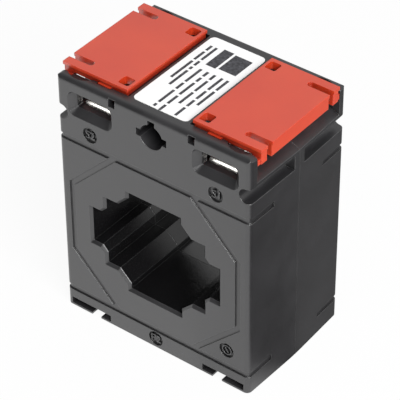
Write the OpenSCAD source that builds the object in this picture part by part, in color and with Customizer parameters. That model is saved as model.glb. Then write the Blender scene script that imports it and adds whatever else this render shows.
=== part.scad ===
// Moulded-case window current transformer with two terminal covers.
// X runs along the front, Y from front to rear, Z up. The origin is the
// centre of the base. Dimensions are in millimetres.

/* [Case] */
// Width of the case at the joint between its halves
case_w = 62; // [61.6:0.1:63]
// Depth of the case from front to rear
case_d = 40.3; // [40:0.1:42]
// Height of the case
case_h = 76.8; // [76.6:0.1:77.6]
// How much each half narrows, at every edge, from the joint to its face
draft = 0.4; // [0.2:0.05:0.5]
// Radius of the outer edges round the front and rear faces
edge_r = 1.5; // [1:0.1:1.8]
// Radius of the top edges along the two sides
side_edge_r = 1.9; // [1:0.1:2.2]
// Thickness of the front and rear walls round the core
face_wall = 2.75; // [2.4:0.05:3]
// Depth of the grooves moulded into the outside
groove_depth = 0.4; // [0.3:0.05:0.8]

/* [Primary window] */
// Height of the window's centre above the base
window_z = 32.3; // [32:0.1:32.6]
// Width and height of the slot for a 40 x 10 bar
bar_slot = [41.5, 11.2]; // [10.8:0.1:42]
// Width and height of the step for a 30 x 20 bar
mid_step = [32, 21.6]; // [21:0.1:32.4]
// Width and height of the tall step, which passes a 32 mm round conductor
tall_step = [16.8, 32.2]; // [16.4:0.1:32.6]
// Chamfer round the window's rim
rim = 0.75; // [0.5:0.05:0.9]
// Thickness of the tunnel wall between the window and the core
tunnel_wall = 1.5; // [1.2:0.1:1.6]

/* [Terminals] */
// Distance of each terminal's centre line from the middle
terminal_x = 19.7; // [19.4:0.1:19.9]
// Width of the terminal strip
strip_w = 9.8; // [9:0.1:10]
// Thickness of the terminal strip
strip_t = 1.5; // [1.2:0.1:1.6]
// Height of the terminal strip's top face
strip_top = 68.9; // [68.8:0.05:69.1]
// Distance of each clamping screw from the case's joint
screw_y = 9.5; // [9:0.1:10]

/* [Covers] */
// Thickness of a cover's top plate
plate_t = 0.95; // [0.8:0.05:1.1]
// Height of the covers' top face
cover_top = 78.3; // [78.2:0.05:78.5]
// Half of a cover's length, front to rear
cover_hd = 16.45; // [16.2:0.05:16.6]
// Distance of a cover's inner edge from the middle
cover_in = 10.3; // [10.2:0.05:10.6]
// Distance of a cover's outer edge from the middle
cover_out = 31.2; // [31:0.05:31.4]
// Size of the square holes for a sealing wire
seal_hole = 3.3; // [3:0.1:3.5]

/* [Core] */
// Build of the wound core strip
core_build = 2.4; // [2:0.1:2.6]
// Width of the wound core strip
core_len = 31.6; // [30:0.1:31.8]
// Thickness of each layer of tape
tape_t = 0.25; // [0.2:0.05:0.3]
// Thickness of the secondary winding's layer
wire_t = 1.1; // [0.8:0.05:1.15]

/* [Hidden] */

$fn = 48;
eps = 0.01;
far = 60;                              // reaches past the case in any direction
hw = case_w / 2;
hd = case_d / 2;
black = "#47474a";
red = "#d4482f";
nickel = "#c9cbc8";

base_land = 3;                         // half width of the flat the case stands on
joint_chamfer = 0.15;                  // bevel along the joint between the halves

cavity_hd = hd - face_wall;            // half depth of the core chamber
cavity_hw = 28.7;
cavity_z = [4.6, 62];
cavity_r = 6;
tunnel_taper = 0.3;                    // how much the window narrows to the joint

head_cavity = [8.2, 6.4];              // half width, half depth between the sockets
head_cavity_top = 74.6;

belt_z = [5.8, 57.05];                 // lower edges of the two belt grooves
belt_w = 1.75;
belt_end = 10.4;                       // where the belts stop on the sides
ring_in = [26.1, 24.75];               // inner outline of the eight-sided groove
ring_in_sum = 36.8;                    // |x| + |z| along its inner diagonals
ring_w = 1.65;

entry_x = [12.6, 27.1];                // terminal entries, from the middle
entry_z = [65.8, 73.3];
entry_r = 2.3;
entry_flare = 1.9;                     // how far the entries' funnels narrow, and their depth
chamber_hd = 16.3;
chamber_x = [12, 27.6];
chamber_step_z = 70;
well_x = 9.5;                          // where the cover's recess starts
well_z = 75.85;
well_hd = 17.45;
well_land = [21.9, 16.7];              // inside this |x| its end walls stand at this |y|
tab_notch = [15.1, 19.6, 17.35];       // notches that the covers' snap tabs drop into
ledge_z = [70, 68.6];                  // sloping side entry, inner and outer height
scallop = [25.2, 13.8, 5.07];          // centre x, centre |y| and radius
scallop_z = 76;

side_slot_z = 65.6;                    // centre height of the side slots
side_slot_r = 2.2;
side_slot_x = 29.3;                    // centre of their round bottom
side_slot_end = 2;

socket_z = 70.3;                       // keyed sockets in the front and rear faces
socket_r = 3.6;
socket_key = [4.8, 2.2];               // reach from the centre, width
socket_depth = 12;
seal_x = [11.5, 13.6];
seal_z = [73.9, 76.2];
seal_end = 12;

foot_x = [15.5, 29];                   // undercut foot slots in the base
foot_z = [0.95, 3.05];
foot_gap = [18.9, 22];

mark_r = 2.3;
mark_depth = 0.55;
marks = [[-20, 61.9], [20, 61.9], [0, 3.4], [23.5, 12.1]];

pivot = [29.3, 74.6];                  // cover hinge, x and z
pivot_r = 0.75;
pivot_gap = 0.07;
pivot_end = 18.3;

nut = [7, 3.2];                        // width across flats and height
nut_gap = 0.15;
screw_r = 2;
nut_r = 2.06;
clearance_r = 2.25;
screw_end = 63.4;
tip_hole_z = 63;
clamp = [8.6, 8.2, 1.3];
head_r = 3.5;
head_h = 2.4;
lead_r = 0.8;

plate_z = cover_top - plate_t;
skirt_in = 0.3;                        // how far the skirt stands in under the plate
skirt_t = 1.2;
skirt_z = 75.9;
lip_z = 73.8;
lip_t = 1.5;
flex_slot = [12.95, 1.9, 23.9];        // |y|, width and inner end of a flex slot
seal_hole_at = [12.7, 13.6];
seal_hole_r = 0.6;
seal_collar_z = 76;
ear_x = [28.1, 30.6];                  // ears that carry the hinge pins
ear_end = 17.2;
ear_z = 75.45;
tab_x = [15.3, 19.3];                  // snap tabs
tab_end = 17.1;
tab_z = [76.2, 76.9];

strip_bend_r = 0.7;                    // inside its two bends
strip_hd = chamber_hd - 0.1;
winding_grow = tape_t + wire_t;
wrap_grow = winding_grow + tape_t;
ring_gap = [23, 18];                   // half width and half height inside the wrap
ring_corner = 10;

// ---- helpers -------------------------------------------------------------

module block(x, y, z)
    translate([x[0], y[0], z[0]]) cube([x[1] - x[0], y[1] - y[0], z[1] - z[0]]);

// Extrudes a shape drawn in X and Z from y0 to y1.
module along_y(y0, y1)
    translate([0, y1, 0]) rotate([90, 0, 0]) linear_extrude(y1 - y0) children();

// Extrudes a shape drawn in Y and Z from x0 to x1.
module along_x(x0, x1)
    translate([x0, 0, 0]) rotate([90, 0, 90]) linear_extrude(x1 - x0) children();

module both_sides() {
    children();
    mirror([1, 0, 0]) children();
}

module both_ends() {
    children();
    mirror([0, 1, 0]) children();
}

module round_rect(x, z, r) {
    translate([x[0] + r, z[0]]) square([x[1] - x[0] - 2 * r, z[1] - z[0]]);
    translate([x[0], z[0] + r]) square([x[1] - x[0], z[1] - z[0] - 2 * r]);
    for (cx = [x[0] + r, x[1] - r], cz = [z[0] + r, z[1] - r])
        translate([cx, cz]) circle(r);
}

// Corner points of a rounded rectangle in X and Z, eight steps to a corner.
function round_points(x, z, r) = [
    for (c = [[1, 1, 0], [0, 1, 90], [0, 0, 180], [1, 0, 270]]) for (i = [0:8])
        let (a = c[2] + i * 11.25)
        [c[0] ? x[1] - r + r * cos(a) : x[0] + r + r * cos(a),
         c[1] ? z[1] - r + r * sin(a) : z[0] + r + r * sin(a)]];

function reversed(p) = [for (i = [len(p) - 1:-1:0]) p[i]];

// Repeats the points of one quadrant round both axes, as one closed outline.
function four_way(p) = concat(
    p, reversed([for (q = p) [-q[0], q[1]]]),
    [for (q = p) [-q[0], -q[1]]], reversed([for (q = p) [q[0], -q[1]]]));

// ---- case ----------------------------------------------------------------

// Plan outline: widest at the joint, narrowing to rounded front corners.
module case_plan(inset = 0) {
    w = hw - inset;
    d = hd - inset;
    r = edge_r - inset;
    lean = atan(draft / hd);
    cy = d - r;
    cx = w - (r + cy * sin(lean)) / cos(lean);
    side = [[w - joint_chamfer, 0], [w, joint_chamfer],
            [cx + r * cos(lean), cy + r * sin(lean)], [cx, cy], [cx, d]];
    q = [for (i = [1:4]) side[i]];
    polygon(concat([side[0]], q, reversed([for (p = q) [-p[0], p[1]]]),
        [[-side[0][0], 0]], [for (p = q) [-p[0], -p[1]]],
        reversed([for (p = q) [p[0], -p[1]]])));
    for (sx = [-1, 1], sy = [-1, 1])
        translate([sx * cx, sy * cy]) circle(r);
}

// Side outline: a flat land to stand on, drafted underside, round top edges.
module case_side() {
    c = [hd - edge_r, case_h - edge_r];
    right = [[base_land, 0], [hd, draft], [hd, c[1]], c, [c[0], case_h]];
    polygon(concat(right, reversed([for (p = right) [-p[0], p[1]]])));
    for (s = [-1, 1])
        translate([s * c[0], c[1]]) circle(edge_r);
}

// Front outline: only the two top corners are shaped by it.
module case_front() {
    c = [hw - side_edge_r, case_h - side_edge_r];
    polygon([[-hw, 0], [hw, 0], [hw, c[1]], c, [c[0], case_h],
        [-c[0], case_h], [-c[0], c[1]], [-hw, c[1]]]);
    for (s = [-1, 1])
        translate([s * c[0], c[1]]) circle(side_edge_r);
}

module case_body()
    intersection() {
        linear_extrude(case_h) case_plan();
        along_x(-far, far) case_side();
        along_y(-far, far) case_front();
    }

// Corners of one quadrant of the stepped window, grown outwards by g. Its
// diagonals lie at 45 degrees, so their ends move by tan(22.5) of g.
function window_quadrant(g) = let (k = tan(22.5) * g,
        bar = bar_slot / 2, mid = mid_step / 2, tall = tall_step / 2,
        d1 = 22.8, d2 = 23.35) [
    [bar[0] + g, bar[1] + g], [d2 - bar[1] + k, bar[1] + g],
    [mid[0] + g, d2 - mid[0] + k], [mid[0] + g, mid[1] + g],
    [d1 - mid[1] + k, mid[1] + g], [tall[0] + g, d1 - tall[0] + k],
    [tall[0] + g, tall[1] + g]];

module window_outline(g)
    translate([0, window_z]) polygon(four_way(window_quadrant(g)));

// The front half of the window: a chamfered rim, then a taper to the joint.
module window_cut() {
    over = 0.5;
    rings = [[-hd - over, rim + over], [-hd + rim, 0],
             [over, -tunnel_taper * (1 + over / hd)]];
    pts = [for (ring = rings) for (p = four_way(window_quadrant(ring[1])))
           [p[0], ring[0], window_z + p[1]]];
    n = len(pts) / 3;
    polyhedron(pts, concat(
        [[for (i = [0:n - 1]) n - 1 - i]], [[for (i = [0:n - 1]) 2 * n + i]],
        [for (r = [0, 1]) for (i = [0:n - 1]) let (j = (i + 1) % n)
            [r * n + i, r * n + j, r * n + n + j, r * n + n + i]]));
}

module core_chamber()
    along_y(-cavity_hd, eps)
        difference() {
            round_rect([-cavity_hw, cavity_hw], cavity_z, cavity_r);
            window_outline(tunnel_wall);
        }

module belts()
    for (z = belt_z)
        translate([0, 0, z])
            intersection() {
                linear_extrude(belt_w)
                    difference() {
                        square(2 * far, center = true);
                        case_plan(groove_depth);
                    }
                block([-far, far], [-far, -belt_end], [-1, belt_w + 1]);
            }

function octagon(half, sum) = four_way([
    [half[0], sum - half[0]], [sum - half[1], half[1]]]);

module ring_groove()
    along_y(-hd - 1, -hd + groove_depth)
        translate([0, window_z])
            difference() {
                polygon(octagon([ring_in[0] + ring_w, ring_in[1] + belt_w],
                    ring_in_sum + ring_w * sqrt(2)));
                polygon(octagon(ring_in, ring_in_sum));
            }

// A wire entry: its sides and floor close in at 45 degrees behind the face,
// its ceiling runs straight.
module entry_funnel() {
    rings = [[-hd - 0.5, -0.5], [-hd + entry_flare, entry_flare],
             [-chamber_hd + eps, entry_flare]];
    pts = [for (ring = rings) let (in = ring[1])
        for (p = round_points([entry_x[0] + in, entry_x[1] - in],
                [entry_z[0] + in, entry_z[1]], entry_r - in))
            [p[0], ring[0], p[1]]];
    n = len(pts) / 3;
    polyhedron(pts, concat(
        [[for (i = [0:n - 1]) n - 1 - i]], [[for (i = [0:n - 1]) 2 * n + i]],
        [for (r = [0, 1]) for (i = [0:n - 1]) let (j = (i + 1) % n)
            [r * n + i, r * n + j, r * n + n + j, r * n + n + i]]));
}

module terminal_chamber() {
    along_y(-chamber_hd, eps) {
        round_rect(entry_x, [entry_z[0], case_h + 5], entry_r);
        translate([chamber_x[0], chamber_step_z])
            square([chamber_x[1] - chamber_x[0], 20]);
    }
    entry_funnel();
    block([well_x, chamber_x[1] + eps], [-well_land[1], eps], [well_z, far + 30]);
    block([well_land[0], chamber_x[1] + eps], [-well_hd, eps], [well_z, far + 30]);
    block([tab_notch[0], tab_notch[1]], [-tab_notch[2], eps], [well_z, far + 30]);
    along_y(-well_hd, eps)
        polygon([[chamber_x[1], far + 30], [chamber_x[1], ledge_z[0]],
            [hw, ledge_z[1]],
            [hw + 4, ledge_z[1] - 4 * (ledge_z[0] - ledge_z[1]) / (hw - chamber_x[1])],
            [hw + 4, far + 30]]);
    block(seal_x, [-hd - 1, -seal_end], seal_z);
    translate([scallop[0], -scallop[1], scallop_z]) cylinder(h = 5, r = scallop[2]);
    translate([terminal_x, -screw_y, 0]) {
        w = nut[0] / 2 + nut_gap;
        block([-w, w], [-w, w], [strip_top - strip_t - nut[1], entry_z[0] + 1]);
        translate([0, 0, tip_hole_z]) cylinder(h = 4, r = clearance_r);
    }
    translate([pivot[0], -well_hd + eps, pivot[1]])
        rotate([90, 0, 0]) cylinder(h = pivot_end + 0.2 - well_hd, r = pivot_r + pivot_gap);
    translate([terminal_x, 0, cavity_z[1] - 1]) cylinder(h = 6, r = lead_r + 0.1);
}

module side_slot()
    along_y(-hd - 1, -side_slot_end) {
        translate([side_slot_x, side_slot_z]) circle(side_slot_r);
        translate([side_slot_x, side_slot_z - side_slot_r])
            square([5, 2 * side_slot_r]);
    }

module key_socket()
    along_y(-hd - 1, -hd + socket_depth)
        translate([0, socket_z]) {
            circle(socket_r);
            square([2 * socket_key[0], socket_key[1]], center = true);
            translate([-socket_key[1] / 2, 0]) square([socket_key[1], socket_key[0]]);
        }

module foot_slot() {
    block(foot_x, [-far, eps], foot_z);
    block(foot_gap, [-far, eps], [-1, foot_z[1]]);
}

module half_shell()
    difference() {
        intersection() {
            case_body();
            block([-far, far], [-far, 0], [-1, case_h + 1]);
        }
        core_chamber();
        block([-head_cavity[0], head_cavity[0]], [-head_cavity[1], eps],
            [cavity_z[1] - 1, head_cavity_top]);
        window_cut();
        belts();
        ring_groove();
        key_socket();
        both_sides() {
            terminal_chamber();
            side_slot();
            foot_slot();
        }
        for (m = marks)
            along_y(-hd - 1, -hd + mark_depth) translate(m) circle(mark_r);
    }

module front_shell() color(black) half_shell();

module rear_shell() color(black) rotate([0, 0, 180]) half_shell();

// ---- core and winding ----------------------------------------------------

// A closed ring of the core's section, grown by g on every face.
module ring(g) {
    inner = wrap_grow - g;
    outer = wrap_grow + core_build + g;
    hl = core_len / 2 + g;
    along_y(-hl, hl)
        translate([0, window_z])
            difference() {
                round_rect([-ring_gap[0] - outer, ring_gap[0] + outer],
                    [-ring_gap[1] - outer, ring_gap[1] + outer], ring_corner + outer);
                round_rect([-ring_gap[0] - inner, ring_gap[0] + inner],
                    [-ring_gap[1] - inner, ring_gap[1] + inner], ring_corner + inner);
            }
}

module lead_path(r)
    translate([terminal_x, 0, 50]) cylinder(h = strip_top - strip_t - 50, r = r);

module core() color("#8d8f92") ring(0);

module core_insulation()
    color("#d8c58a")
        difference() {
            ring(tape_t);
            ring(0);
        }

module secondary_winding()
    color("#b5652b")
        difference() {
            ring(winding_grow);
            ring(tape_t);
        }

module winding_wrap()
    color("#d9d3bd")
        difference() {
            ring(wrap_grow);
            ring(winding_grow);
            both_sides() lead_path(lead_r + 0.05);
        }

module lead()
    color("#7a2020")
        difference() {
            lead_path(lead_r);
            ring(winding_grow);
        }

module s1_lead() lead();
module s2_lead() mirror([1, 0, 0]) lead();

// ---- terminals -----------------------------------------------------------

// A strip bent down at both ends, which stands on the chamber's floor.
module terminal_strip()
    color(nickel)
        difference() {
            along_x(terminal_x - strip_w / 2, terminal_x + strip_w / 2)
                difference() {
                    intersection() {
                        round_rect([-strip_hd, strip_hd],
                            [entry_z[0] - 5, strip_top], strip_t + strip_bend_r);
                        translate([-far, entry_z[0]]) square([2 * far, 10]);
                    }
                    round_rect([-strip_hd + strip_t, strip_hd - strip_t],
                        [entry_z[0] - 5, strip_top - strip_t], strip_bend_r);
                }
            both_ends()
                translate([terminal_x, screw_y, strip_top - 2]) cylinder(h = 4, r = clearance_r);
        }

module square_nut()
    color(nickel)
        translate([terminal_x, -screw_y, strip_top - strip_t - nut[1]])
            difference() {
                translate([-nut[0] / 2, -nut[0] / 2, 0]) cube([nut[0], nut[0], nut[1]]);
                translate([0, 0, -1]) cylinder(h = nut[1] + 2, r = nut_r);
            }

// A square clamping plate with gripping grooves across its underside.
module wire_clamp()
    color(nickel)
        translate([terminal_x, -screw_y, strip_top])
            difference() {
                translate([-clamp[0] / 2, -clamp[1] / 2, 0]) cube(clamp);
                translate([0, 0, -1]) cylinder(h = clamp[2] + 2, r = clearance_r);
                for (y = [-3.1, 3.1])
                    translate([0, y, 0]) rotate([45, 0, 0])
                        cube([2 * clamp[0], 0.5, 0.5], center = true);
            }

// A pan-head screw with a combined slot and cross, thread left plain.
module clamp_screw() {
    under = strip_top + clamp[2];
    color(nickel)
        translate([terminal_x, -screw_y, 0])
            difference() {
                union() {
                    translate([0, 0, screw_end]) cylinder(h = under - screw_end + 1, r = screw_r);
                    translate([0, 0, under])
                        rotate_extrude() {
                            square([head_r, head_h - 0.8]);
                            square([head_r - 0.8, head_h]);
                            translate([head_r - 0.8, head_h - 0.8]) circle(0.8);
                        }
                }
                translate([0, 0, under + head_h - 0.6])
                    cube([2 * head_r + 1, 0.9, 1.2 + eps], center = true);
                translate([0, 0, under + head_h - 0.7]) {
                    cube([3.6, 0.9, 1.8], center = true);
                    cube([0.9, 3.6, 1.8], center = true);
                }
            }
}

module s1_terminal_strip() terminal_strip();
module s2_terminal_strip() mirror([1, 0, 0]) terminal_strip();
module s1_front_nut() square_nut();
module s1_rear_nut() mirror([0, 1, 0]) square_nut();
module s2_front_nut() mirror([1, 0, 0]) square_nut();
module s2_rear_nut() mirror([1, 0, 0]) mirror([0, 1, 0]) square_nut();
module s1_front_clamp() wire_clamp();
module s1_rear_clamp() mirror([0, 1, 0]) wire_clamp();
module s2_front_clamp() mirror([1, 0, 0]) wire_clamp();
module s2_rear_clamp() mirror([1, 0, 0]) mirror([0, 1, 0]) wire_clamp();
module s1_front_screw() clamp_screw();
module s1_rear_screw() mirror([0, 1, 0]) clamp_screw();
module s2_front_screw() mirror([1, 0, 0]) clamp_screw();
module s2_rear_screw() mirror([1, 0, 0]) mirror([0, 1, 0]) clamp_screw();

// ---- covers --------------------------------------------------------------

// Plan of one flex slot, grown by g, open at the cover's outer end.
module flex_slot_plan(g) {
    r = flex_slot[1] / 2;
    translate([flex_slot[2] + r, flex_slot[0]]) circle(r + g);
    translate([flex_slot[2] + r, flex_slot[0] - r - g]) square([far, 2 * (r + g)]);
}

module cover_half() {
    outer = cover_out - skirt_in;
    side = cover_hd - skirt_in;
    difference() {
        union() {
            block([cover_in, cover_out], [0, cover_hd], [plate_z, cover_top]);
            block([cover_in + skirt_in, cover_in + skirt_in + skirt_t], [0, side],
                [skirt_z, plate_z + eps]);
            block([cover_in + skirt_in, outer], [side - skirt_t, side],
                [skirt_z, plate_z + eps]);
            block([outer - lip_t, outer], [0, side], [lip_z, plate_z + eps]);
            block([ear_x[0], outer - eps], [side - skirt_t, side], [lip_z, plate_z + eps]);
            block(ear_x, [side - skirt_t, ear_end], [lip_z, ear_z]);
            intersection() {
                translate([0, 0, skirt_z + 0.4]) linear_extrude(plate_z - skirt_z - 0.4 + eps)
                    flex_slot_plan(1);
                block([0, outer - lip_t + eps], [0, side - eps], [0, far + 30]);
            }
            block([cover_in + skirt_in, seal_hole_at[0] + seal_hole / 2 + 1],
                [seal_hole_at[1] - seal_hole / 2 - 1, side], [seal_collar_z, plate_z + eps]);
            block(tab_x, [side - eps, tab_end], tab_z);
            translate([pivot[0], pivot_end, pivot[1]])
                rotate([90, 0, 0]) cylinder(h = pivot_end - side + skirt_t, r = pivot_r);
        }
        translate([0, 0, lip_z - 1]) linear_extrude(10) flex_slot_plan(0);
        translate([0, 0, skirt_z - 1]) linear_extrude(5)
            round_rect([seal_hole_at[0] - seal_hole / 2, seal_hole_at[0] + seal_hole / 2],
                [seal_hole_at[1] - seal_hole / 2, seal_hole_at[1] + seal_hole / 2],
                seal_hole_r);
    }
}

module cover()
    color(red)
        union() {
            cover_half();
            mirror([0, 1, 0]) cover_half();
        }

module s1_cover() cover();
module s2_cover() mirror([1, 0, 0]) cover();

// ---- label ---------------------------------------------------------------

module rating_label()
    color("white")
        translate([0, 0, case_h])
            linear_extrude(0.12)
                round_rect([-8.6, 8.6], [-16.8, 16.8], 1.5);

front_shell();
rear_shell();
core();
core_insulation();
secondary_winding();
winding_wrap();
s1_lead();
s2_lead();
s1_terminal_strip();
s2_terminal_strip();
s1_front_nut();
s1_rear_nut();
s2_front_nut();
s2_rear_nut();
s1_front_clamp();
s1_rear_clamp();
s2_front_clamp();
s2_rear_clamp();
s1_front_screw();
s1_rear_screw();
s2_front_screw();
s2_rear_screw();
s1_cover();
s2_cover();
rating_label();
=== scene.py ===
"""Looks, marks and studio for the current transformer, laid out as an add-on and run as a script."""
import math

import bpy
import numpy as np
from mathutils import Matrix, Vector


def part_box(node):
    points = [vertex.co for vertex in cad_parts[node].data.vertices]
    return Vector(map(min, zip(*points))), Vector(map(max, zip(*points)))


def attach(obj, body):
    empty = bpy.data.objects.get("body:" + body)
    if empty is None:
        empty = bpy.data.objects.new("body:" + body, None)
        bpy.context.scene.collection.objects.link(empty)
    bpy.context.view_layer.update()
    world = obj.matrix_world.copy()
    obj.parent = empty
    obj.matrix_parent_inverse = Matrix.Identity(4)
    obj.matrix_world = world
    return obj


bl_info = {
    "name": "Current transformer finishes",
    "version": (1, 0, 0),
    "blender": (4, 5, 0),
    "location": "3D View > Sidebar > Transformer",
    "description": "Finishes, marks and studio for a window current transformer",
    "category": "Material",
}

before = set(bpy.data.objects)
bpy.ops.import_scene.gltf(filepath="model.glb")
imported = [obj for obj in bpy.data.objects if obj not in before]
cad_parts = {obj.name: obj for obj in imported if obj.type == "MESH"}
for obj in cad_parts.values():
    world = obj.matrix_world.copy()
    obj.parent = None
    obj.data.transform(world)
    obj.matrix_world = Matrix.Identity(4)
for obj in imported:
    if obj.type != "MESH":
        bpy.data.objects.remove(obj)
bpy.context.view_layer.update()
MM = 0.001
TOP_OF_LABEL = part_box("rating_label")[1][2]
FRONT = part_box("front_shell")[0][1]
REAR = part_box("rear_shell")[1][1]

# The window's tunnel between its rims: height of its middle, and half its width, depth and height.
WINDOW_Z = 0.0323
WINDOW_HALF = (0.0209, 0.0193, 0.0163)

# Recessed discs in the faces: x and z in millimetres, the lettering on the front and on the rear.
DISCS = ((-20.0, 61.9, "S2", "S2"), (20.0, 61.9, "S1", "S1"), (0.0, 3.4, "P2", "P1"))
DATE_DISC = (23.5, 12.1)
DISC_DEPTH = 0.55

# Marks in the discs, in millimetres: the lettering's height and thickness, the dial's ring as inner
# and outer radius, its pointer's half width, half length and turn in degrees, and the dial's thickness.
LETTER_SIZE = (3.4, 0.5)
DIAL_RING = (1.25, 1.55)
DIAL_POINTER = (0.16, 0.95, 35)
DIAL_THICK = 0.45

# Lamps: place, width, depth. The second lights only the terminals.
KEY_LAMP = ((0.85, -0.45, 0.80), 0.7, 0.7)
TERMINAL_LAMP = ((-0.28, -0.42, 0.42), 0.25, 0.25)
LAMP_TARGET = (0, 0, 0.04)

# The camera: its turn as the rows of a rotation, and its place.
CAMERA_TURN = ((0.79390, -0.37629, 0.47761), (0.60801, 0.49872, -0.61772),
               (-0.00575, 0.78080, 0.62473))
CAMERA_PLACE = (0.277383, -0.359247, 0.400853)

# What reflections see of the floor and the sky: a direction, the reach along it over which the
# strength changes, and the strengths at its start and end. The floor's two are added.
FLOOR_FADE = ((0.6, 0.8, 0), 0.004, 0.016, 0.87, 0.08)
FLOOR_STEP = ((-0.791, 0.612, 0), -0.026, -0.022, 0.0, 0.13)
SKY_FADE = ((-0.3, 1, 0), -0.3, 0.6, 0.10, 0.62)


# ---- settings ------------------------------------------------------------

class CaseFinish(bpy.types.PropertyGroup):
    """Finish of the moulded black case."""
    colour: bpy.props.FloatVectorProperty(
        name="Colour", description="Colour of the moulded case", subtype="COLOR", size=3,
        min=0, max=1, default=(0.018, 0.0175, 0.019))
    roughness: bpy.props.FloatProperty(
        name="Roughness", description="Roughness of the moulded skin", subtype="FACTOR",
        min=0, max=1, default=0.34)
    polish: bpy.props.FloatProperty(
        name="Window roughness", description="Roughness of the window's polished walls",
        subtype="FACTOR", min=0, max=1, default=0.12)
    specular: bpy.props.FloatProperty(
        name="Specular level", description="Strength of the skin's reflections", subtype="FACTOR",
        min=0, max=1, default=1.0)
    grain: bpy.props.FloatProperty(
        name="Grain height", description="Height of the fine texture left by the mould",
        unit="LENGTH", subtype="DISTANCE", min=0, max=0.0005, default=0.00002)
    edge: bpy.props.FloatProperty(
        name="Edge radius", description="Radius of the softened edges", unit="LENGTH",
        subtype="DISTANCE", min=0, max=0.002, default=0.00028)
    # The edge tone is a painted highlight: the brightness of the light lines painted along the edges.
    edge_highlight: bpy.props.FloatProperty(
        name="Edge tone", description="Brightness of the fine light lines along the edges",
        subtype="FACTOR", min=0, max=1, default=0.11)
    dust: bpy.props.FloatProperty(
        name="Dust", description="Brightness of the dust specks", subtype="FACTOR",
        min=0, max=1, default=0.10)


class CoverFinish(bpy.types.PropertyGroup):
    """Finish of the red terminal covers."""
    colour: bpy.props.FloatVectorProperty(
        name="Colour", description="Colour of the covers", subtype="COLOR", size=3,
        min=0, max=1, default=(0.62, 0.046, 0.010))
    roughness: bpy.props.FloatProperty(
        name="Roughness", description="Roughness of the covers", subtype="FACTOR",
        min=0, max=1, default=0.33)
    glow: bpy.props.FloatProperty(
        name="Translucency", description="Share of light that spreads inside the plastic",
        subtype="FACTOR", min=0, max=1, default=0.15)
    coat: bpy.props.FloatProperty(
        name="Skin gloss", description="Weight of the glossy moulded skin", subtype="FACTOR",
        min=0, max=1, default=0.9)
    edge: bpy.props.FloatProperty(
        name="Edge radius", description="Radius of the softened edges", unit="LENGTH",
        subtype="DISTANCE", min=0, max=0.002, default=0.00016)


class MetalFinish(bpy.types.PropertyGroup):
    """Finish of the terminals."""
    plate: bpy.props.FloatVectorProperty(
        name="Plating colour", description="Colour of the nickel plating", subtype="COLOR", size=3,
        min=0, max=1, default=(0.72, 0.70, 0.66))
    roughness: bpy.props.FloatProperty(
        name="Roughness", description="Roughness of the plating", subtype="FACTOR",
        min=0, max=1, default=0.28)


class LabelPrint(bpy.types.PropertyGroup):
    """The plain fields printed on the label."""
    paper: bpy.props.FloatVectorProperty(
        name="Film colour", description="Colour of the label film", subtype="COLOR", size=3,
        min=0, max=1, default=(0.90, 0.90, 0.90))
    ink: bpy.props.FloatVectorProperty(
        name="Ink colour", description="Colour of the printed fields", subtype="COLOR", size=3,
        min=0, max=1, default=(0.030, 0.030, 0.034))
    thickness: bpy.props.FloatProperty(
        name="Ink thickness", description="Thickness of the printed fields", unit="LENGTH",
        subtype="DISTANCE", min=0.000005, max=0.0001, default=0.00002)


class Studio(bpy.types.PropertyGroup):
    """Lamps, floor and camera."""
    key: bpy.props.FloatProperty(
        name="Key lamp", description="Power of the large lamp at the right and above", unit="POWER",
        min=0, max=200, default=20.5)
    glint: bpy.props.FloatProperty(
        name="Terminal lamp", description="Power of the small lamp that only the terminals take",
        unit="POWER", min=0, max=20, default=1.2)
    ambient: bpy.props.FloatProperty(
        name="Ambient", description="Strength of the surroundings", min=0, max=2, default=0.5)
    focal: bpy.props.FloatProperty(
        name="Focal length", description="Focal length of the lens in millimetres",
        min=20, max=400, default=199.54)


GROUPS = {"tr_case": CaseFinish, "tr_cover": CoverFinish, "tr_metal": MetalFinish,
          "tr_label": LabelPrint, "tr_studio": Studio}


# ---- materials -----------------------------------------------------------

def new_material(name):
    """A node material with one Principled shader. Returns (material, nodes, shader, link)."""
    mat = bpy.data.materials.new(name)
    mat.use_nodes = True
    nt = mat.node_tree
    shader = nt.nodes["Principled BSDF"]
    return mat, nt.nodes, shader, nt.links.new


def noise(nodes, link, coords, scale, detail=2.0, roughness=0.5):
    """A noise texture on object coordinates; scale is in cells per metre."""
    n = nodes.new("ShaderNodeTexNoise")
    n.inputs["Scale"].default_value = scale
    n.inputs["Detail"].default_value = detail
    n.inputs["Roughness"].default_value = roughness
    link(coords.outputs["Object"], n.inputs["Vector"])
    return n


def remap(nodes, link, value, low, high, to_low, to_high):
    """Maps a value linearly from low..high to to_low..to_high, held at its ends."""
    m = nodes.new("ShaderNodeMapRange")
    for key, v in (("From Min", low), ("From Max", high), ("To Min", to_low), ("To Max", to_high)):
        m.inputs[key].default_value = v
    link(value, m.inputs["Value"])
    return m.outputs["Result"]


def bumped(nodes, link, shader, height, distance, edge, strength=1.0):
    """Bump from a height field over a softened-edge normal, into the shader's normal."""
    bump = nodes.new("ShaderNodeBump")
    bump.inputs["Distance"].default_value = distance
    bump.inputs["Strength"].default_value = strength
    if edge:
        bevel = nodes.new("ShaderNodeBevel")
        bevel.samples = 6
        bevel.inputs["Radius"].default_value = edge
        link(bevel.outputs["Normal"], bump.inputs["Normal"])
    link(height, bump.inputs["Height"])
    link(bump.outputs["Normal"], shader.inputs["Normal"])


def colour_mix(nodes, link, factor, a, b):
    """Mixes two colours by a factor. a and b are colours or sockets."""
    m = nodes.new("ShaderNodeMix")
    m.data_type = "RGBA"
    link(factor, m.inputs["Factor"])
    for socket, v in ((m.inputs["A"], a), (m.inputs["B"], b)):
        if isinstance(v, bpy.types.NodeSocket):
            link(v, socket)
        else:
            socket.default_value = (*v, 1)
    return m.outputs["Result"]


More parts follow.
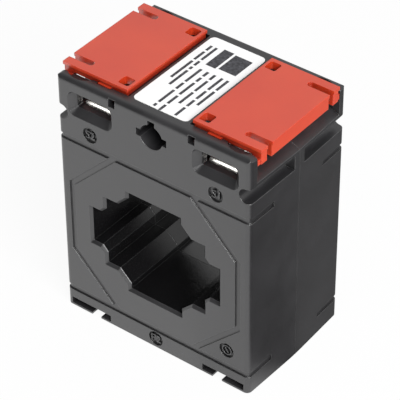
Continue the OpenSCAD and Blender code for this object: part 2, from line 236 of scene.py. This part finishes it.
def crease(nodes, link, reach, low, high):
    """Zero deep in a crease and one out in the open, from how much is near within a reach in metres."""
    near = nodes.new("ShaderNodeAmbientOcclusion")
    near.samples = 6
    near.inputs["Distance"].default_value = reach
    return remap(nodes, link, near.outputs["AO"], low, high, 0, 1)


def edge_line(nodes, link, radius):
    """One along an edge within a radius of it, and zero on the faces."""
    bevel = nodes.new("ShaderNodeBevel")
    bevel.samples = 6
    bevel.inputs["Radius"].default_value = radius
    face = nodes.new("ShaderNodeNewGeometry")
    turn = nodes.new("ShaderNodeVectorMath")
    turn.operation = "DOT_PRODUCT"
    link(bevel.outputs["Normal"], turn.inputs[0])
    link(face.outputs["True Normal"], turn.inputs[1])
    return remap(nodes, link, turn.outputs["Value"], 0.86, 0.995, 1, 0)


def in_window(nodes, link, at):
    """One inside the window's tunnel, behind its rims, and zero elsewhere."""
    reach = nodes.new("ShaderNodeVectorMath")
    reach.operation = "ABSOLUTE"
    shift = nodes.new("ShaderNodeVectorMath")
    shift.operation = "SUBTRACT"
    shift.inputs[1].default_value = (0, 0, WINDOW_Z)
    link(at.outputs["Object"], shift.inputs[0])
    link(shift.outputs[0], reach.inputs[0])
    split = nodes.new("ShaderNodeSeparateXYZ")
    link(reach.outputs[0], split.inputs[0])
    inside = None
    for axis, half in zip("XYZ", WINDOW_HALF):
        one = remap(nodes, link, split.outputs[axis], half, half + 0.0001, 1, 0)
        if inside is None:
            inside = one
            continue
        both = nodes.new("ShaderNodeMath")
        both.operation = "MULTIPLY"
        link(inside, both.inputs[0])
        link(one, both.inputs[1])
        inside = both.outputs[0]
    return inside


def case_material(p):
    """Black moulded plastic: a fine spark-eroded skin, broad uneven gloss and a few dust specks."""
    mat, nodes, shader, link = new_material("Moulded black case")
    at = nodes.new("ShaderNodeTexCoord")
    broad = noise(nodes, link, at, 90, 3)
    grain = noise(nodes, link, at, 5200, 1)
    tone = remap(nodes, link, broad.outputs["Fac"], 0.3, 0.7, 0, 1)
    deep = tuple(c * 0.8 for c in p.colour)
    pale = tuple(c * 1.25 for c in p.colour)
    base = colour_mix(nodes, link, tone, deep, pale)
    cell = nodes.new("ShaderNodeTexVoronoi")
    cell.inputs["Scale"].default_value = 420
    link(at.outputs["Object"], cell.inputs["Vector"])
    near = remap(nodes, link, cell.outputs["Distance"], 0.03, 0.07, 1, 0)
    pick = nodes.new("ShaderNodeSeparateColor")
    link(cell.outputs["Color"], pick.inputs["Color"])
    rare = remap(nodes, link, pick.outputs["Red"], 0.90, 0.93, 0, 1)
    speck = nodes.new("ShaderNodeMath")
    speck.operation = "MULTIPLY"
    link(near, speck.inputs[0])
    link(rare, speck.inputs[1])
    dusty = colour_mix(nodes, link, speck.outputs[0], base, (p.dust,) * 3)
    # Inside the window's tunnel the walls are polished, with lower roughness, and their colour is darkened
    # to a third as painted shade.
    polished_and_shaded = in_window(nodes, link, at)
    skin = colour_mix(nodes, link, polished_and_shaded, dusty, tuple(c * 0.3 for c in p.colour))
    # Painted highlight: the colour turns lighter in fine lines along the edges, standing in for their
    # glints.
    varied = colour_mix(nodes, link, edge_line(nodes, link, 0.00016), skin, (p.edge_highlight,) * 3)
    # Painted shade: deep in creases, grooves and gaps the colour goes nearly black.
    open_air = crease(nodes, link, 0.0012, 0.35, 0.8)
    link(colour_mix(nodes, link, open_air, (0.002, 0.002, 0.002), varied), shader.inputs["Base Color"])
    rough = remap(nodes, link, broad.outputs["Fac"], 0.3, 0.7, p.roughness - 0.04, p.roughness + 0.05)
    gloss = nodes.new("ShaderNodeMix")
    gloss.inputs["B"].default_value = p.polish
    link(polished_and_shaded, gloss.inputs["Factor"])
    link(rough, gloss.inputs["A"])
    link(gloss.outputs["Result"], shader.inputs["Roughness"])
    # Painted shade on the reflections: in creases the specular level drops to a quarter.
    link(remap(nodes, link, open_air, 0, 1, p.specular * 0.25, p.specular),
         shader.inputs["Specular IOR Level"])
    shader.inputs["IOR"].default_value = 1.58
    bumped(nodes, link, shader, grain.outputs["Fac"], p.grain, p.edge)
    return mat


def cover_material(p):
    """Red moulded plastic: glossy, a little translucent, with a faint flow pattern."""
    mat, nodes, shader, link = new_material("Moulded red cover")
    at = nodes.new("ShaderNodeTexCoord")
    flow = noise(nodes, link, at, 60, 3)
    grain = noise(nodes, link, at, 2600, 1)
    tone = remap(nodes, link, flow.outputs["Fac"], 0.3, 0.7, 0, 1)
    c = p.colour
    skin = colour_mix(nodes, link, tone, (c[0] * 0.95, c[1] * 0.9, c[2] * 0.9),
                      (c[0] * 1.04, c[1] * 1.15, c[2] * 1.1))
    # Painted shade: deep in the gaps and creases round the cover the red darkens.
    open_air = crease(nodes, link, 0.0025, 0.25, 0.85)
    link(colour_mix(nodes, link, open_air, (c[0] * 0.35, c[1] * 0.2, c[2] * 0.2), skin),
         shader.inputs["Base Color"])
    link(remap(nodes, link, flow.outputs["Fac"], 0.3, 0.7, p.roughness - 0.03, p.roughness + 0.04),
         shader.inputs["Roughness"])
    shader.inputs["Subsurface Weight"].default_value = p.glow
    shader.inputs["Subsurface Radius"].default_value = (0.0016, 0.0003, 0.0002)
    shader.inputs["Subsurface Scale"].default_value = 1.0
    shader.inputs["Specular IOR Level"].default_value = 1.0
    shader.inputs["Coat Weight"].default_value = p.coat
    shader.inputs["Coat Roughness"].default_value = 0.3
    bumped(nodes, link, shader, grain.outputs["Fac"], 0.000006, p.edge)
    return mat


def metal_material(name, colour, roughness, scratch=1400, edge=0.0001):
    """Plated metal: fine drawn scratches, uneven roughness and softened edges."""
    mat, nodes, shader, link = new_material(name)
    at = nodes.new("ShaderNodeTexCoord")
    stretch = nodes.new("ShaderNodeMapping")
    stretch.inputs["Scale"].default_value = (1, 0.08, 1)
    link(at.outputs["Object"], stretch.inputs["Vector"])
    lines = nodes.new("ShaderNodeTexNoise")
    lines.inputs["Scale"].default_value = scratch
    link(stretch.outputs["Vector"], lines.inputs["Vector"])
    cloud = noise(nodes, link, at, 300, 2)
    tone = remap(nodes, link, cloud.outputs["Fac"], 0.3, 0.7, 0, 1)
    link(colour_mix(nodes, link, tone, tuple(c * 0.88 for c in colour), colour),
         shader.inputs["Base Color"])
    shader.inputs["Metallic"].default_value = 1.0
    link(remap(nodes, link, cloud.outputs["Fac"], 0.3, 0.7, roughness - 0.06, roughness + 0.08),
         shader.inputs["Roughness"])
    bumped(nodes, link, shader, lines.outputs["Fac"], 0.000008, edge)
    return mat


def tape_material(name, colour, scale=900):
    """Woven or paper tape: a fine crossed weave with worn colour, matt."""
    mat, nodes, shader, link = new_material(name)
    at = nodes.new("ShaderNodeTexCoord")
    cloud = noise(nodes, link, at, 200, 3)
    weave = nodes.new("ShaderNodeTexVoronoi")
    weave.inputs["Scale"].default_value = scale
    link(at.outputs["Object"], weave.inputs["Vector"])
    tone = remap(nodes, link, cloud.outputs["Fac"], 0.3, 0.7, 0, 1)
    link(colour_mix(nodes, link, tone, tuple(c * 0.8 for c in colour), colour), shader.inputs["Base Color"])
    shader.inputs["Roughness"].default_value = 0.75
    bumped(nodes, link, shader, weave.outputs["Distance"], 0.00003, 0)
    return mat


def label_material(p):
    """White film: an even satin skin with a very faint mottle."""
    mat, nodes, shader, link = new_material("White label film")
    at = nodes.new("ShaderNodeTexCoord")
    cloud = noise(nodes, link, at, 160, 2)
    tone = remap(nodes, link, cloud.outputs["Fac"], 0.3, 0.7, 0, 1)
    link(colour_mix(nodes, link, tone, tuple(c * 0.975 for c in p.paper), p.paper),
         shader.inputs["Base Color"])
    shader.inputs["Roughness"].default_value = 0.42
    shader.inputs["Specular IOR Level"].default_value = 0.4
    bumped(nodes, link, shader, cloud.outputs["Fac"], 0.00002, 0)
    return mat


def ink_material(p):
    """Black thermal print on the film: even, slightly glossy, with worn density."""
    mat, nodes, shader, link = new_material("Label ink")
    at = nodes.new("ShaderNodeTexCoord")
    varied = noise(nodes, link, at, 1500, 2)
    tone = remap(nodes, link, varied.outputs["Fac"], 0.35, 0.75, 0, 1)
    link(colour_mix(nodes, link, tone, p.ink, tuple(c * 3 for c in p.ink)), shader.inputs["Base Color"])
    shader.inputs["Roughness"].default_value = 0.5
    return mat


def give(material, *nodes):
    """Puts one material into every slot of the named frame nodes."""
    for name in nodes:
        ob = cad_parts[name]
        if not ob.material_slots:
            ob.data.materials.append(material)
        for s in ob.material_slots:
            s.material = material


# ---- surfaces ------------------------------------------------------------

def mesh_object(name, points, faces, material, body="case", smooth=False):
    """A mesh at the origin from an array of points in metres and a list of faces, riding on a body."""
    me = bpy.data.meshes.new(name)
    me.from_pydata(np.asarray(points).tolist(), [], [list(map(int, f)) for f in faces])
    me.update()
    me.materials.append(material)
    me.polygons.foreach_set("use_smooth", np.full(len(me.polygons), smooth))
    ob = bpy.data.objects.new(name, me)
    bpy.context.scene.collection.objects.link(ob)
    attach(ob, body)
    return ob


def block_field(rects, z0, z1):
    """Closed blocks from an (n, 4) array of x0, x1, y0, y1, between z0 and z1.

    Corner k of each block takes x from bit 0 of k, y from bit 1 and z from bit 2."""
    r = np.asarray(rects, float)
    k = np.arange(8)
    x = np.where(k & 1, r[:, 1:2], r[:, 0:1])
    y = np.where(k & 2, r[:, 3:4], r[:, 2:3])
    z = np.broadcast_to(np.where(k & 4, z1, z0), x.shape)
    points = np.stack([x, y, z], -1).reshape(-1, 3)
    one = np.array([[0, 2, 3, 1], [4, 5, 7, 6], [0, 1, 5, 4], [2, 6, 7, 3], [0, 4, 6, 2], [1, 3, 7, 5]])
    faces = (one[None] + 8 * np.arange(len(r))[:, None, None]).reshape(-1, 4)
    return points, faces


def revolved(profile, n):
    """A closed ring swept from a closed profile of (radius, height) round the z axis.

    Point (i, j) is (r_j cos t_i, r_j sin t_i, h_j) with t_i = 2 pi i / n."""
    pr = np.asarray(profile, float)
    t = np.linspace(0, 2 * math.pi, n, endpoint=False)[:, None]
    height = np.broadcast_to(pr[:, 1], (n, len(pr)))
    points = np.stack([pr[:, 0] * np.cos(t), pr[:, 0] * np.sin(t), height], -1)
    i, j = np.meshgrid(np.arange(n), np.arange(len(pr)), indexing="ij")
    i2, j2 = (i + 1) % n, (j + 1) % len(pr)
    m = len(pr)
    faces = np.stack([i * m + j, i2 * m + j, i2 * m + j2, i * m + j2], -1).reshape(-1, 4)
    return points.reshape(-1, 3), faces


def on_face(points, x, z, front):
    """Turns points drawn flat, with height along z, to stand out of the front or rear face at x and z."""
    p = np.asarray(points, float)
    if front:
        return np.stack([x + p[:, 0], FRONT + DISC_DEPTH * MM - p[:, 2], z + p[:, 1]], -1)
    return np.stack([x - p[:, 0], REAR - DISC_DEPTH * MM + p[:, 2], z + p[:, 1]], -1)


def lettering(name, text, height, thick, x, z, front, material):
    """Raised lettering made from a text outline, set into a mesh before it is placed on the face."""
    cu = bpy.data.curves.new(name, "FONT")
    cu.body = text
    cu.align_x = "CENTER"
    cu.align_y = "CENTER"
    cu.size = height
    cu.extrude = thick / 2
    cu.resolution_u = 3
    tmp = bpy.data.objects.new(name + "_text", cu)
    bpy.context.scene.collection.objects.link(tmp)
    bpy.context.view_layer.update()
    me = bpy.data.meshes.new_from_object(tmp.evaluated_get(bpy.context.evaluated_depsgraph_get()))
    bpy.data.objects.remove(tmp)
    co = np.empty(len(me.vertices) * 3)
    me.vertices.foreach_get("co", co)
    co = co.reshape(-1, 3)
    low, high = co.min(0), co.max(0)
    co[:, :2] -= (low[:2] + high[:2]) / 2
    co[:, 2] += thick / 2
    me.vertices.foreach_set("co", on_face(co, x, z, front).ravel())
    me.update()
    me.materials.clear()
    me.materials.append(material)
    me.name = name
    ob = bpy.data.objects.new(name, me)
    bpy.context.scene.collection.objects.link(ob)
    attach(ob, "case")
    return ob


# ---- operators -----------------------------------------------------------

class TR_OT_case(bpy.types.Operator):
    """Gives both halves of the case their moulded black skin."""
    bl_idname = "transformer.case"
    bl_label = "Case"

    def execute(self, context):
        give(case_material(context.scene.tr_case), "front_shell", "rear_shell")
        return {"FINISHED"}


class TR_OT_covers(bpy.types.Operator):
    """Gives the terminal covers their red plastic."""
    bl_idname = "transformer.covers"
    bl_label = "Covers"

    def execute(self, context):
        give(cover_material(context.scene.tr_cover), "s1_cover", "s2_cover")
        return {"FINISHED"}


class TR_OT_terminals(bpy.types.Operator):
    """Gives the strips, clamps, nuts and screws their plating."""
    bl_idname = "transformer.terminals"
    bl_label = "Terminals"

    def execute(self, context):
        p = context.scene.tr_metal
        plate = metal_material("Nickel plating", tuple(p.plate), p.roughness)
        zinc = metal_material("Bright zinc plating", (0.66, 0.67, 0.69), p.roughness + 0.06, 900)
        give(plate, "s1_terminal_strip", "s2_terminal_strip")
        for s in ("s1", "s2"):
            for e in ("front", "rear"):
                give(plate, f"{s}_{e}_clamp")
                give(zinc, f"{s}_{e}_nut", f"{s}_{e}_screw")
        return {"FINISHED"}


class TR_OT_winding(bpy.types.Operator):
    """Gives the core, its insulation, the winding, its wrap and the leads their finishes."""
    bl_idname = "transformer.winding"
    bl_label = "Core and winding"

    def execute(self, context):
        give(metal_material("Wound silicon steel", (0.40, 0.41, 0.43), 0.42, 2500), "core")
        give(tape_material("Insulating paper", (0.72, 0.58, 0.32)), "core_insulation")
        give(metal_material("Enamelled copper", (0.62, 0.24, 0.10), 0.26, 1200), "secondary_winding")
        give(tape_material("Finishing tape", (0.72, 0.68, 0.56), 1300), "winding_wrap")
        give(metal_material("Lead enamel", (0.42, 0.10, 0.06), 0.3, 1500), "s1_lead", "s2_lead")
        return {"FINISHED"}


class TR_OT_marks(bpy.types.Operator):
    """Moulds the terminal marks and the date dial into the recessed discs."""
    bl_idname = "transformer.marks"
    bl_label = "Moulded marks"

    def execute(self, context):
        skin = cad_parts["front_shell"].material_slots[0].material
        for x, z, front_text, rear_text in DISCS:
            for front, text, side in ((True, front_text, "front"), (False, rear_text, "rear")):
                lettering(f"{side}_mark_{text.lower()}_{int(x) if x >= 0 else 'l'}", text,
                          LETTER_SIZE[0] * MM, LETTER_SIZE[1] * MM, x * MM, z * MM, front, skin)
        for front, side in ((True, "front"), (False, "rear")):
            x, z = (1 if front else -1) * DATE_DISC[0] * MM, DATE_DISC[1] * MM
            inner, outer = DIAL_RING
            section = [[inner, 0], [outer, 0], [outer, DIAL_THICK], [inner, DIAL_THICK]]
            ring, faces = revolved(np.array(section) * MM, 40)
            ob = mesh_object(f"{side}_date_ring", on_face(ring, x, z, front), faces, skin)
            half_width, half_length, degrees = DIAL_POINTER
            turn = math.radians(degrees)
            rects = np.array([[-half_width, half_width, -half_length, half_length]]) * MM
            bar, bar_faces = block_field(rects, 0, DIAL_THICK * MM)
            c, s = math.cos(turn), math.sin(turn)
            bar[:, :2] = bar[:, :2] @ np.array([[c, s], [-s, c]])
            ob = mesh_object(f"{side}_date_pointer", on_face(bar, x, z, front), bar_faces, skin)
        return {"FINISHED"}


class TR_OT_label(bpy.types.Operator):
    """Gives the label its film, and prints plain fields on it in place of lettering."""
    bl_idname = "transformer.label"
    bl_label = "Label"

    def execute(self, context):
        p = context.scene.tr_label
        give(label_material(p), "rating_label")
        ink = ink_material(p)
        z0 = TOP_OF_LABEL
        rects = print_fields() * MM
        points, faces = block_field(rects, z0, z0 + p.thickness)
        ob = mesh_object("label_print", points, faces, ink)
        return {"FINISHED"}


def print_fields():
    """Plain bars in rows that run along the label, as x0, x1, y0, y1 in millimetres.

    Row i sits at a fixed x; its bars follow a fixed table of start and length along y."""
    rows = ((6.4, 3.2, (5, 7)), (4.6, 3.2, (6, 4, 3, 4)), (2.3, 3.2, (2.4, 5.2, 5.6)),
            (0.1, 3.2, (2.2, 2, 6, 4, 2.6)), (-2.1, 3.2, (6.6, 3, 6.2, 1.2)),
            (-4.6, 13, (6.5, 2.2, 1.2, 7.4)), (-6.2, 13, (2.4, 4.2, 8.8)))
    out = []
    for x, start, lengths in rows:
        y = start
        for length in lengths:
            out.append((x - 0.4, x + 0.4, y - length, y))
            y -= length + 0.8
    out.append((1.2, 6.6, 5.9, 13.3))
    out.append((-2.6, 0.5, 5.5, 13.7))
    return np.array(out)


class TR_OT_studio(bpy.types.Operator):
    """Sets the floor, the surroundings, the lamps and the camera."""
    bl_idname = "transformer.studio"
    bl_label = "Studio"

    def execute(self, context):
        p = context.scene.tr_studio
        floor_and_world(p)
        lamp("Key lamp", *KEY_LAMP, p.key)
        glint = lamp("Terminal lamp", *TERMINAL_LAMP, p.glint)
        shown = bpy.data.collections.new("Terminals")
        for name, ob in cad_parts.items():
            if name.endswith(("_strip", "_clamp", "_screw")):
                shown.objects.link(ob)
        glint.light_linking.receiver_collection = shown
        cam_data = bpy.data.cameras.new("Camera")
        cam_data.sensor_width = 36
        cam_data.lens = p.focal
        cam_data.clip_start = 0.02
        cam = bpy.data.objects.new("Camera", cam_data)
        context.scene.collection.objects.link(cam)
        cam.matrix_world = Matrix.Translation(CAMERA_PLACE) @ Matrix(CAMERA_TURN).to_4x4()
        context.scene.camera = cam
        return {"FINISHED"}


def lamp(name, place, width, depth, power):
    """A rectangular soft lamp aimed at the object."""
    data = bpy.data.lights.new(name, "AREA")
    data.shape = "RECTANGLE"
    data.size = width
    data.size_y = depth
    data.energy = power
    ob = bpy.data.objects.new(name, data)
    bpy.context.scene.collection.objects.link(ob)
    ob.location = place
    ob.rotation_euler = (Vector(LAMP_TARGET) - Vector(place)).to_track_quat("-Z", "Y").to_euler()
    return ob


def ramp(nodes, link, vector, direction, low, high, to_low, to_high):
    """Maps a vector's reach along a direction from low..high to to_low..to_high, held at its ends."""
    along = nodes.new("ShaderNodeVectorMath")
    along.operation = "DOT_PRODUCT"
    along.inputs[1].default_value = direction
    link(vector, along.inputs[0])
    return remap(nodes, link, along.outputs["Value"], low, high, to_low, to_high)


def ray_strength(nodes, link, plain, straight, glossy):
    """Strength for plain rays, for camera and transmission rays, and, from a socket, for glossy rays."""
    path = nodes.new("ShaderNodeLightPath")
    seen = nodes.new("ShaderNodeMath")
    seen.operation = "MAXIMUM"
    link(path.outputs["Is Camera Ray"], seen.inputs[0])
    link(path.outputs["Is Transmission Ray"], seen.inputs[1])
    out = plain
    for flag, level in ((path.outputs["Is Glossy Ray"], glossy), (seen.outputs[0], straight)):
        m = nodes.new("ShaderNodeMix")
        link(flag, m.inputs["Factor"])
        for socket, v in ((m.inputs["A"], out), (m.inputs["B"], level)):
            if isinstance(v, bpy.types.NodeSocket):
                link(v, socket)
            else:
                socket.default_value = v
        out = m.outputs["Result"]
    return out


def floor_and_world(p):
    """A white floor with a faint shadow, and the surroundings.

    Reflections see the floor darken towards the back right, and the surroundings bright behind
    and dark in front."""
    me = bpy.data.meshes.new("floor")
    r = 3.0
    me.from_pydata([(-r, -r, 0), (r, -r, 0), (r, r, 0), (-r, r, 0)], [], [(0, 1, 2, 3)])
    floor = bpy.data.objects.new("floor", me)
    bpy.context.scene.collection.objects.link(floor)
    mat = bpy.data.materials.new("White floor")
    mat.use_nodes = True
    nodes, link = mat.node_tree.nodes, mat.node_tree.links.new
    nodes.clear()
    out = nodes.new("ShaderNodeOutputMaterial")
    mix = nodes.new("ShaderNodeMixShader")
    paint = nodes.new("ShaderNodeBsdfDiffuse")
    paint.inputs["Color"].default_value = (0.80, 0.80, 0.80, 1)
    white = nodes.new("ShaderNodeEmission")
    at = nodes.new("ShaderNodeTexCoord")
    total = nodes.new("ShaderNodeMath")
    for socket, fade in zip(total.inputs, (FLOOR_FADE, FLOOR_STEP)):
        link(ramp(nodes, link, at.outputs["Object"], *fade), socket)
    link(total.outputs[0], white.inputs["Strength"])
    path = nodes.new("ShaderNodeLightPath")
    lit = nodes.new("ShaderNodeEmission")
    seen = nodes.new("ShaderNodeMixShader")
    link(path.outputs["Is Glossy Ray"], seen.inputs["Fac"])
    link(lit.outputs[0], seen.inputs[1])
    link(white.outputs[0], seen.inputs[2])
    link(ray_strength(nodes, link, 0.0, 0.93, 1.0), mix.inputs["Fac"])
    link(paint.outputs[0], mix.inputs[1])
    link(seen.outputs[0], mix.inputs[2])
    link(mix.outputs[0], out.inputs["Surface"])
    me.materials.append(mat)
    world = bpy.data.worlds.new("Studio")
    bpy.context.scene.world = world
    world.use_nodes = True
    nodes, link = world.node_tree.nodes, world.node_tree.links.new
    nodes.clear()
    out = nodes.new("ShaderNodeOutputWorld")
    back = nodes.new("ShaderNodeBackground")
    at = nodes.new("ShaderNodeTexCoord")
    sky = ramp(nodes, link, at.outputs["Generated"], *SKY_FADE)
    link(ray_strength(nodes, link, p.ambient, 1.0, sky), back.inputs["Strength"])
    link(back.outputs[0], out.inputs["Surface"])
    bpy.context.scene.view_settings.view_transform = "Standard"


STEPS = (TR_OT_case, TR_OT_covers, TR_OT_terminals, TR_OT_winding, TR_OT_marks, TR_OT_label, TR_OT_studio)


class TR_PT_sidebar(bpy.types.Panel):
    """Lists the settings and the steps."""
    bl_idname = "TR_PT_sidebar"
    bl_label = "Current transformer"
    bl_space_type = "VIEW_3D"
    bl_region_type = "UI"
    bl_category = "Transformer"

    def draw(self, context):
        for key, group in GROUPS.items():
            box = self.layout.box()
            box.label(text=group.__doc__)
            for prop in group.__annotations__:
                box.prop(getattr(context.scene, key), prop)
        for step in STEPS:
            self.layout.operator(step.bl_idname)


def register():
    for cls in (*GROUPS.values(), *STEPS, TR_PT_sidebar):
        bpy.utils.register_class(cls)
    for key, group in GROUPS.items():
        setattr(bpy.types.Scene, key, bpy.props.PointerProperty(type=group))


def unregister():
    for key in GROUPS:
        delattr(bpy.types.Scene, key)
    for cls in reversed((*GROUPS.values(), *STEPS, TR_PT_sidebar)):
        bpy.utils.unregister_class(cls)


def main():
    """Registers the classes and runs each step in order."""
    register()
    for step in STEPS:
        area, name = step.bl_idname.split(".")
        if getattr(getattr(bpy.ops, area), name)() != {"FINISHED"}:
            raise RuntimeError(f"{step.bl_label} did not finish")


if __name__ == "__main__":
    main()
